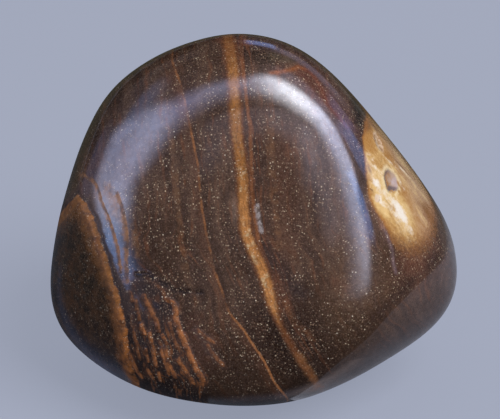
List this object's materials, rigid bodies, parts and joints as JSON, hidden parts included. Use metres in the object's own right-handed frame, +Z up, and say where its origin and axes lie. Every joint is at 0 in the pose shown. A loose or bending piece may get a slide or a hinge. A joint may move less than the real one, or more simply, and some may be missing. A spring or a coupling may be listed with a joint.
{
  "type": "tumbled boulder opal pebble",
  "caption": "Polished rounded-triangular pebble of ironstone with opal seams, a stepped ledge, pits and a worn flat to stand on.",
  "frame": {"origin": "on the surface that the stone stands on, under the middle of its bounding box", "axes": "+X to the right along the broad face, +Y towards the back of the stone, +Z up"},
  "size_m": [0.0302, 0.0246, 0.0255],
  "materials": {
    "polished_ironstone": "tumbled to a soft gloss"
  },
  "bodies": {
    "root": {"boulder_opal": "polished_ironstone"}
  },
  "joints": []
}
